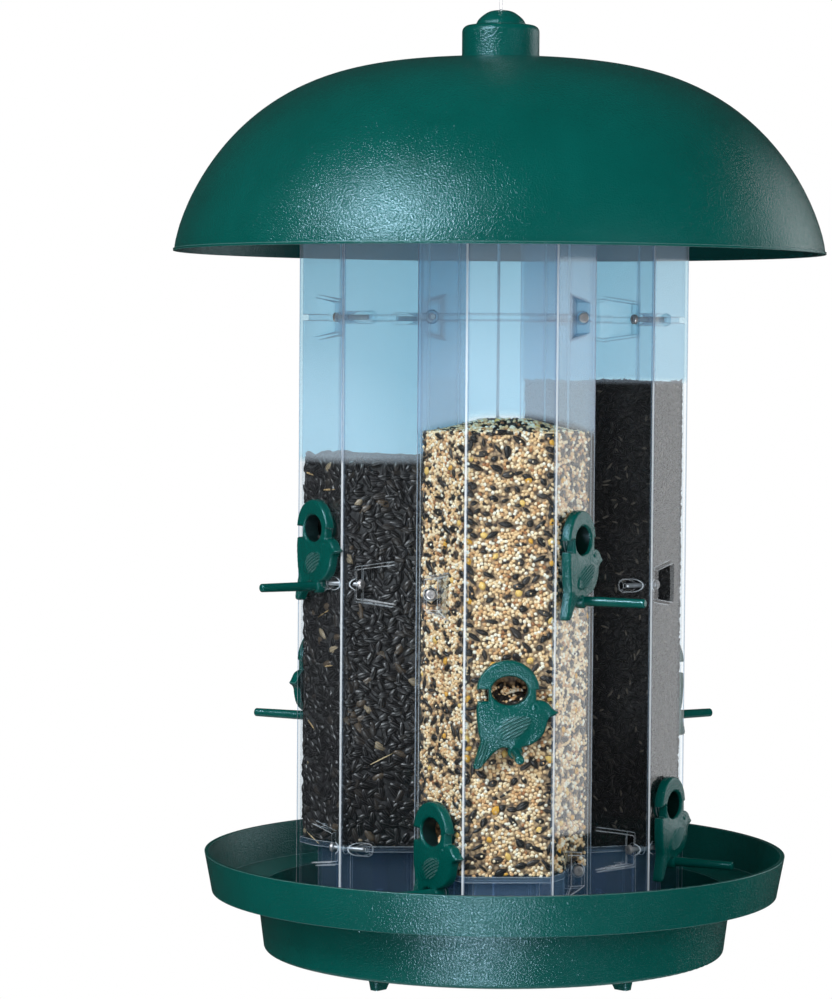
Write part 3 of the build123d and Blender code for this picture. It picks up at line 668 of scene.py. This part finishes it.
# The hollow behind a port, and the slope of seed in it, in the port's plane.
CAVITY_HALF = (11.5 * MM, 9.0 * MM)
CAVITY_DEEP, CAVITY_SHALLOW = -15.0 * MM, -3.5 * MM
SLOPE_HALF = 8.2
SLOPE_FOOT, SLOPE_RISE = (-6.0, -2.8), (7.5, -9.5)
SLOPE_NORMAL = Vector((0, 0.62, 0.78))
SLOPE_TILT = 0.5


def unit_rows(vectors):
    """The same vectors, each of length 1."""
    return vectors / np.linalg.norm(vectors, axis=1)[:, None]


def hull_shape(around, along, blunt):
    """A unit seed along X, with its blunt end at +X: its corners, its faces, and where each corner
    is round it and along it."""
    corners, uv = [(-0.5, 0, 0)], [(0.5, 0)]
    for ring in range(1, along):
        share = ring / along
        width = 0.5 * sin(pi * share**blunt) ** FULLNESS
        for step in range(around):
            turn = 2 * pi * step / around
            corners.append((share - 0.5, width * cos(turn), width * sin(turn)))
            uv.append((abs(1 - 2 * step / around), share))
    corners.append((0.5, 0, 0))
    uv.append((0.5, 1))
    last = len(corners) - 1
    faces = [(0, 1 + (i + 1) % around, 1 + i) for i in range(around)]
    for ring in range(along - 2):
        first = 1 + ring * around
        for i in range(around):
            j = (i + 1) % around
            faces.append((first + i, first + j, first + around + j, first + around + i))
    end = last - around
    faces += [(last, end + i, end + (i + 1) % around) for i in range(around)]
    return np.array(corners), faces, np.array(uv)


def seed_kind(label, size, hull, skin):
    """A kind of seed: its pieces' name, its length, width and thickness, its shape and its skin."""
    return {"label": label, "size": [MM * length for length in size], "hull": hull, "skin": skin}


SUNFLOWER = seed_kind("sunflower", (9.6, 4.5, 2.7), hull_shape(8, 6, 0.8), husk(
    "sunflower_hulls",
    [(0.0, (0.003, 0.003, 0.004)), (0.3, (0.005, 0.005, 0.005)), (0.62, (0.01, 0.009, 0.01)),
     (0.88, (0.03, 0.024, 0.02)), (0.965, (0.1, 0.07, 0.045)), (0.99, (0.36, 0.28, 0.18))],
    0.38,
    stripe=(0.085, 0.08, 0.082),
))
MILLET = seed_kind("millet", (2.2, 1.85, 1.75), hull_shape(6, 4, 0.95), husk(
    "millet",
    [(0.0, (0.88, 0.62, 0.34)), (0.3, (1.0, 0.82, 0.55)), (0.6, (0.72, 0.42, 0.2)),
     (0.74, (1.0, 0.95, 0.8)), (0.9, (0.42, 0.19, 0.08)), (0.94, (0.05, 0.035, 0.03))],
    0.4,
))
CHIP = seed_kind("dark_chip", (6.4, 2.9, 2.2), hull_shape(6, 5, 0.8), husk(
    "dark_chips",
    [(0.0, (0.008, 0.008, 0.009)), (0.4, (0.016, 0.014, 0.013)), (0.8, (0.04, 0.034, 0.03))],
    0.4,
    stripe=(0.07, 0.066, 0.06),
))
CORN = seed_kind("corn", (4.2, 3.4, 2.4), hull_shape(6, 4, 1.0), husk(
    "cracked_corn", [(0.0, (0.8, 0.42, 0.06)), (0.5, (0.9, 0.6, 0.18))], 0.45,
))
STRAW = seed_kind("straw", (13.0, 0.9, 0.7), hull_shape(5, 5, 1.0), husk(
    "straw", [(0.0, (0.5, 0.34, 0.17)), (0.5, (0.66, 0.5, 0.28))], 0.5,
))
NYJER = seed_kind("nyjer", (4.3, 1.25, 1.15), hull_shape(5, 4, 0.9), husk(
    "nyjer",
    [(0.0, (0.006, 0.006, 0.006)), (0.45, (0.011, 0.01, 0.011)), (0.8, (0.028, 0.025, 0.023)),
     (0.96, (0.1, 0.085, 0.07))],
    0.35,
))
BEDS = {
    "front": bed_skin("mixed_bed", (0.1, 0.06, 0.035), (0.62, 0.42, 0.23), 480.0),
    "right": bed_skin("nyjer_bed", (0.003, 0.003, 0.003), (0.018, 0.016, 0.016), 520.0),
    "left": bed_skin("sunflower_bed", (0.004, 0.004, 0.005), (0.02, 0.019, 0.022), 230.0),
}
SLOTS = {"front": "mixed_seed", "right": "nyjer_seed", "left": "sunflower_seed"}


def crown(points, side):
    """How far the seed's real top is over the fill's flat one, at each of some points. The front
    tube has a mound of seed, the left tube a slope, and the right tube a nearly level top. x and y
    are in apothems, and each rise is in millimetres."""
    place = tube_place(side)
    local = (points - np.array(place.translation)) @ np.array(place.inverted().to_3x3()).T / TUBE_APOTHEM
    x, y = local[:, 0], local[:, 1]
    if side == "front":
        rise = 9.0 * np.exp(-1.9 * (x**2 + y**2)) - 5.0
    elif side == "left":
        rise = 5.0 * y - 2.0 + 1.2 * np.sin(5 * x)
    else:
        rise = 0.8 * np.sin(4 * x + 1) * np.cos(3 * y)
    return rise * MM


def add_bed(side):
    """The bulk of the seed, just under its outer layer, standing for the fill's CAD solid."""
    mesh = nodes[f"seed_fill_{side}"].data.copy()
    bm = bmesh.new()
    bm.from_mesh(mesh)
    bmesh.ops.remove_doubles(bm, verts=bm.verts, dist=1e-6)
    bmesh.ops.recalc_face_normals(bm, faces=bm.faces)
    top = seed_top(side) - TOP_BAND
    for vert in bm.verts:
        if vert.co.z > top:
            vert.co.z += crown(np.array([vert.co]), side)[0]
        vert.co -= vert.normal * BED_DEPTH
    bm.to_mesh(mesh)
    bm.free()
    add_piece(f"seed_bed_{side}", mesh, "feeder", SLOTS[side], BEDS[side], replaces=[f"seed_fill_{side}"])


def surface_points(mesh, spacing):
    """Points spread evenly over a mesh, at least spacing apart, with the surface's normals."""
    mesh.calc_loop_triangles()
    corners = np.array([v.co for v in mesh.vertices])
    tris = corners[np.array([t.vertices for t in mesh.loop_triangles])]
    first, across, up = tris[:, 0], tris[:, 1] - tris[:, 0], tris[:, 2] - tris[:, 0]
    cross = np.cross(across, up)
    area = np.linalg.norm(cross, axis=1) / 2
    tries = int(TRIES * area.sum() / spacing**2)
    pick = rng.choice(len(tris), tries, p=area / area.sum())
    a, b = rng.random(tries), rng.random(tries)
    a, b = np.where(a + b > 1, 1 - a, a), np.where(a + b > 1, 1 - b, b)
    points = first[pick] + a[:, None] * across[pick] + b[:, None] * up[pick]
    taken, kept = {}, []
    cells = np.floor(points / spacing).astype(int)
    around = [(i, j, k) for i in (-1, 0, 1) for j in (-1, 0, 1) for k in (-1, 0, 1)]
    for index, (x, y, z) in enumerate(cells.tolist()):
        near = [other for i, j, k in around for other in taken.get((x + i, y + j, z + k), ())]
        if all(np.sum((points[index] - points[other]) ** 2) > spacing**2 for other in near):
            taken.setdefault((x, y, z), []).append(index)
            kept.append(index)
    return points[kept], (cross[pick] / (2 * area[pick, None]))[kept]


def corner_points(side, spacing):
    """Points down the six corners of a tube's fill, with normals out of each corner."""
    low, high = (corner.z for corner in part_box(f"seed_fill_{side}"))
    levels = np.arange(low + spacing, high - spacing / 2, spacing)
    place = tube_place(side)
    points, normals = [], []
    for out in outward(30):
        for level in levels:
            points.append(tuple(place @ (out * SEED_CORNER + Vector((0, 0, level)))))
            normals.append(tuple(place.to_3x3() @ out))
    return np.array(points), np.array(normals)


def in_cavity(points, side):
    """Which points are in the hollows behind a tube's ports."""
    found = np.zeros(len(points), bool)
    for level in LEVELS:
        back = port_place(side, level).inverted()
        x, y, z = (points @ np.array(back.to_3x3()).T + np.array(back.translation)).T
        painted_corner_shade = (np.abs(x) < CAVITY_HALF[0]) & (np.abs(y) < CAVITY_HALF[1])
        found |= painted_corner_shade & (z < CAVITY_SHALLOW) & (z > CAVITY_DEEP)
    return found


def slope_points(side, count):
    """Points and normals on the slope of seed that lies behind each port of a tube."""
    points, normals = [], []
    for level in LEVELS:
        place = port_place(side, level)
        for across, share in zip(rng.uniform(-SLOPE_HALF, SLOPE_HALF, count), rng.random(count)):
            up, out = (foot + rise * share for foot, rise in zip(SLOPE_FOOT, SLOPE_RISE))
            points.append(tuple(place @ (Vector((across, up, out)) * MM)))
            normals.append(tuple(place.to_3x3() @ SLOPE_NORMAL))
    return np.array(points), np.array(normals)


def follow_crown(points, normals, side):
    """Lifts places on the fill's flat top to the seed's real one, and leaves out those on its sides
    that are over it."""
    rise = crown(points, side)
    top = (normals[:, 2] > 0.9) & (points[:, 2] > seed_top(side) - TOP_BAND)
    points[top, 2] += rise[top]
    kept = top | (points[:, 2] < seed_top(side) + rise)
    return points[kept], normals[kept]


def lay(points, normals, kind, vary, tilt, flow=None):
    """Seeds lying on a surface, as an array of (seeds, corners, 3)."""
    count = len(points)
    length, width, thick = (size * (1 + vary * rng.uniform(-1, 1, count)) for size in kind["size"])
    up = np.where(np.abs(normals[:, 2:]) > 0.8, [[1.0, 0, 0]], [[0, 0, 1.0]])
    side = unit_rows(np.cross(up, normals))
    rise = np.cross(normals, side)
    turn = rng.uniform(0, 2 * pi, count) if flow is None else np.radians(rng.normal(*flow, count))
    turn += pi * rng.integers(0, 2, count)
    lean, roll = rng.normal(0, tilt, (2, count))
    along = side * np.cos(turn)[:, None] + rise * np.sin(turn)[:, None] + normals * lean[:, None]
    along = unit_rows(along)
    across = unit_rows(np.cross(normals + np.cross(along, normals) * roll[:, None], along))
    top = np.cross(along, across)
    unit = kind["hull"][0]
    scaled = unit[None] * np.stack([length, width, thick], 1)[:, None]
    shape = np.einsum("nvk,nkj->nvj", scaled, np.stack([along, across, top], 1))
    centre = points - normals * (thick / 2)[:, None]
    return shape + centre[:, None]


def hold_in(shape, side):
    """Pushes each seed in until it is clear of its tube's six walls."""
    place = tube_place(side)
    for direction in outward(0):
        out = np.array(place.to_3x3() @ direction)
        over = ((shape - np.array(place.translation)) @ out).max(1) - SEED_APOTHEM
        shape -= out * np.maximum(over, 0)[:, None, None]
    return shape


def drop_loose(shape, solid):
    """Leaves out seeds whose ends stick out of the space that the seed fills."""
    tree = BVHTree.FromPolygons([v.co for v in solid.vertices], [p.vertices for p in solid.polygons])
    keep = []
    for seed in shape:
        outside = 0.0
        for tip in (seed[0], seed[-1]):
            found, normal, _, _ = tree.find_nearest(Vector(tip))
            outside = max(outside, (Vector(tip) - found).dot(normal))
        keep.append(outside < LOOSE)
    return shape[np.array(keep)]


def keep_apart(shape, others):
    """Leaves out the seeds whose middles come too near to other seeds already laid."""
    corners = np.concatenate([laid.reshape(-1, 3) for laid in others])
    tree = KDTree(len(corners))
    for index, corner in enumerate(corners):
        tree.insert(corner, index)
    tree.balance()
    return shape[[tree.find(seed.mean(0))[2] > APART for seed in shape]]


def many(name, shape, faces, uv):
    """One mesh of many copies. shape is (copies, corners, 3), and faces and uv are those of one copy."""
    copies, corners, _ = shape.shape
    loops = np.concatenate([np.array(face) for face in faces])
    starts = np.cumsum([0] + [len(face) for face in faces[:-1]])
    every = np.arange(copies)[:, None]
    mesh = bpy.data.meshes.new(name)
    mesh.vertices.add(copies * corners)
    mesh.vertices.foreach_set("co", shape.astype(np.float32).ravel())
    mesh.loops.add(copies * len(loops))
    mesh.loops.foreach_set("vertex_index", (loops + every * corners).astype(np.int32).ravel())
    mesh.polygons.add(copies * len(faces))
    mesh.polygons.foreach_set("loop_start", (starts + every * len(loops)).astype(np.int32).ravel())
    mesh.polygons.foreach_set("use_smooth", np.full(copies * len(faces), True))
    mesh.update(calc_edges=True)
    layer = mesh.uv_layers.new(name="hull")
    layer.data.foreach_set("uv", np.tile(uv[loops], (copies, 1)).astype(np.float32).ravel())
    mesh.validate()
    return mesh


def sow(side, kind, spacing, vary, tilt, share=1.0, behind=0, flow=None, limit=6000, others=()):
    """Lays one kind of seed over a tube's fill, and returns what it laid.

    A share of the places that are a spacing apart is used. Sizes vary by a share, and seeds lean
    and roll by a tilt. flow is the angle at which they lie and its spread, in degrees, where they
    have one. behind is how many lie behind each port, and limit is how many go into a piece. They
    keep clear of the others that are already laid."""
    solid = nodes[f"seed_fill_{side}"].data
    on_faces, on_corners = surface_points(solid, spacing), corner_points(side, spacing)
    points, normals = (np.vstack(pair) for pair in zip(on_corners, on_faces))
    chosen = (rng.random(len(points)) < share) & ~in_cavity(points, side)
    points, normals = follow_crown(points[chosen], normals[chosen], side)
    shape = drop_loose(hold_in(lay(points, normals, kind, vary, tilt, flow), side), solid)
    if behind:
        shape = np.vstack([shape, lay(*slope_points(side, behind), kind, vary, SLOPE_TILT)])
    if others:
        shape = keep_apart(shape, others)
    _, faces, uv = kind["hull"]
    for number, lot in enumerate(np.array_split(shape, ceil(len(shape) / limit))):
        name = f"{kind['label']}_{number}"
        add_piece(name, many(name, lot, faces, uv), "feeder", SLOTS[side], kind["skin"])
    return shape


for side in SIDES:
    add_bed(side)
straw = sow("left", STRAW, 21 * MM, vary=0.3, tilt=0.05, share=0.5, flow=(0, 25))
sow("left", SUNFLOWER, 2.9 * MM, vary=0.16, tilt=0.2, behind=34, flow=(-20, 50), limit=1900, others=[straw])
chips = sow("front", CHIP, 4.5 * MM, vary=0.4, tilt=0.12, share=0.64, behind=12, flow=(0, 40))
corn = sow("front", CORN, 9.5 * MM, vary=0.3, tilt=0.2, share=0.6, behind=2, others=[chips])
sow("front", MILLET, 1.27 * MM, vary=0.14, tilt=0.3, behind=320, limit=5400, others=[chips, corn])
sow("right", NYJER, 1.55 * MM, vary=0.2, tilt=0.25, behind=190)


# --------------------------------------------------------------------------------------------- cable

STRANDS = 6
STRAND_R = 0.27 * MM
STRAND_SIDES = 6
CORE_R = CABLE_R - 1.6 * STRAND_R
LAY_LENGTH = 11.0 * MM
CABLE_STEP = 0.9 * MM


def strand_rope(name, line):
    """A twisted wire rope along a line of points going up: strands round a core, as one mesh."""
    steps = len(line)
    run = np.concatenate([[0], np.cumsum(np.linalg.norm(np.diff(line, axis=0), axis=1))])
    ring = np.arange(STRAND_SIDES) * 2 * pi / STRAND_SIDES
    corners, faces = [], []
    for strand in range(STRANDS + 1):
        core = strand == STRANDS
        turn = 2 * pi * (run / LAY_LENGTH + strand / STRANDS)
        reach, radius = (0, CORE_R) if core else (CABLE_R - STRAND_R, STRAND_R)
        centre = line + reach * np.column_stack([np.cos(turn), np.sin(turn), 0 * turn])
        start = len(corners)
        for x, y, z in centre:
            corners += [(x + radius * cos(angle), y + radius * sin(angle), z) for angle in ring]
        for step in range(steps - 1):
            first = start + step * STRAND_SIDES
            for i in range(STRAND_SIDES):
                j = (i + 1) % STRAND_SIDES
                faces.append((first + i, first + j, first + STRAND_SIDES + j, first + STRAND_SIDES + i))
        faces.append(tuple(start + i for i in reversed(range(STRAND_SIDES))))
        faces.append(tuple(start + (steps - 1) * STRAND_SIDES + i for i in range(STRAND_SIDES)))
    mesh = bpy.data.meshes.new(name)
    mesh.from_pydata(corners, [], faces)
    mesh.shade_smooth()
    return mesh


def route_line(points, resolution=24):
    """Points along the smooth NURBS line whose control points these are."""
    curve = bpy.data.curves.new("route", "CURVE")
    curve.dimensions = "3D"
    spline = curve.splines.new("NURBS")
    spline.points.add(len(points) - 1)
    for point, place in zip(spline.points, points):
        point.co = (*place, 1.0)
    spline.order_u = 3
    spline.use_endpoint_u = True
    curve.resolution_u = resolution
    holder = bpy.data.objects.new("route", curve)
    bpy.context.scene.collection.objects.link(holder)
    bpy.context.view_layer.update()
    evaluated = holder.evaluated_get(bpy.context.evaluated_depsgraph_get())
    mesh = bpy.data.meshes.new_from_object(evaluated)
    line = np.array([v.co for v in mesh.vertices])
    bpy.data.objects.remove(holder)
    bpy.data.curves.remove(curve)
    bpy.data.meshes.remove(mesh)
    return line


cable_low, cable_high = (corner.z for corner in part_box("centre_cable"))
inner_steps = int((cable_high - cable_low) / CABLE_STEP)
inner_line = np.column_stack([np.zeros((inner_steps, 2)), np.linspace(cable_low, cable_high, inner_steps)])
add_piece(
    "twisted_centre_cable", strand_rope("twisted_centre_cable", inner_line), "hanger", "steel_cable",
    wire_steel, replaces=["centre_cable"],
)
CORD_ROUTE = [(0.0, 0.0, 0.4871), (0.0, 0.0, 0.5052), (0.0, 0.0, 0.5263), (0.0, 0.0, 0.5474)]
cord_line = route_line(CORD_ROUTE)
cord = add_piece(
    "twisted_hanging_cable", strand_rope("twisted_hanging_cable", cord_line), "hanger", "steel_cable",
    wire_steel, replaces=["hanging_cable"],
)

# --------------------------------------------------------------------------------- camera and studio

SENSOR = 36.0
LENS = 122.52
DISTANCE = 1.729
EYE_HEIGHT = 0.318
EYE_TURN = radians(3.7)
AIM_LEFT = radians(1.365)
AIM_DOWN = radians(2.602)
ROLL = radians(0.42)
FLOOR_R = 1.2
FLOOR_Z = -0.9


def add_camera():
    """The camera, in front of the feeder and a little to its left, looking slightly down."""
    data = bpy.data.cameras.new("camera")
    data.sensor_width = SENSOR
    data.lens = LENS
    data.clip_end = 50.0
    camera = bpy.data.objects.new("camera", data)
    bpy.context.scene.collection.objects.link(camera)
    eye = Vector((-sin(EYE_TURN), -cos(EYE_TURN), 0)) * DISTANCE + Vector((0, 0, EYE_HEIGHT))
    aim = (
        Matrix.Rotation(-EYE_TURN + AIM_LEFT, 4, "Z")
        @ Matrix.Rotation(radians(90) - AIM_DOWN, 4, "X")
        @ Matrix.Rotation(ROLL, 4, "Z")
    )
    camera.matrix_world = Matrix.Translation(eye) @ aim
    bpy.context.scene.camera = camera


def softbox(name, place, target, size, power, gloss=True, fill=True):
    """An area light at a place, facing a target. Some only fill, and some only show in the gloss."""
    data = bpy.data.lights.new(name, "AREA")
    data.shape = "RECTANGLE"
    data.size, data.size_y = size
    data.energy = power
    light = bpy.data.objects.new(name, data)
    bpy.context.scene.collection.objects.link(light)
    light.visible_glossy, light.visible_diffuse = gloss, fill
    toward = (Vector(target) - Vector(place)).to_track_quat("-Z", "Y")
    light.matrix_world = Matrix.Translation(place) @ toward.to_matrix().to_4x4()


def add_air():
    """White all round: bright behind the object, softer as light and nearly dark in the gloss."""
    world = bpy.data.worlds.new("studio")
    world.use_nodes = True
    bpy.context.scene.world = world
    air = world.node_tree
    ray = node(air, "ShaderNodeLightPath").outputs
    unseen = spread(air, ray["Is Glossy Ray"], 0.5, 0.03)
    strength = node(air, "ShaderNodeMix", {"Factor": ray["Is Camera Ray"], "A": unseen, "B": 1.0})
    glow = {"Color": (*WHITE, 1.0), "Strength": strength.outputs[0]}
    background = node(air, "ShaderNodeBackground", glow)
    feed(air, air.nodes["World Output"], {"Surface": background.outputs[0]})


def add_floor():
    """A round pale floor well below the feeder."""
    mesh = bpy.data.meshes.new("floor")
    bm = bmesh.new()
    bmesh.ops.create_circle(bm, cap_ends=True, radius=FLOOR_R, segments=128)
    bm.to_mesh(mesh)
    bm.free()
    floor = bpy.data.objects.new("floor", mesh)
    floor.location = (0, 0, FLOOR_Z)
    bpy.context.scene.collection.objects.link(floor)
    finish, tree, shader, coords = new_material("pale_floor")
    cloud = noise(tree, coords, 3.0, detail=3.0)
    tone = ramp(tree, cloud, [(0.3, (0.8, 0.8, 0.79)), (0.7, (0.84, 0.84, 0.83))])
    feed(tree, shader, {"Base Color": tone, "Roughness": 0.8})
    paint(floor, finish)


KEY, KEY_TARGET = (-1.26, -1.26, 1.45), (0, 0, 0.4)
MIDDLE = (0.0, 0.0, 0.25)
softbox("key", KEY, KEY_TARGET, (0.5, 0.5), 24.0)
softbox("key_glint", KEY, KEY_TARGET, (0.45, 0.45), 90.0, fill=False)
softbox("low_glint", (-0.42, -1.75, -0.6), MIDDLE, (0.3, 0.3), 28.0, fill=False)
softbox("right_back_card", (1.5, 0.95, 0.45), MIDDLE, (1.2, 1.32), 7.5)
softbox("corner_strip", (1.35, -1.5, 0.3), MIDDLE, (0.12, 1.4), 4.0)
softbox("left_fill", (-1.6, -1.1, 0.7), MIDDLE, (1.0, 1.2), 10.0, gloss=False)
softbox("front_fill", (0.2, -2.1, 0.7), MIDDLE, (1.4, 1.2), 13.0, gloss=False)
softbox("right_fill", (1.1, -1.5, 0.9), MIDDLE, (1.0, 1.0), 6.0, gloss=False)
add_camera()
add_air()
add_floor()

scene = bpy.context.scene
scene.view_settings.view_transform = "Standard"
scene.cycles.transparent_max_bounces = 40
scene.cycles.use_denoising = True
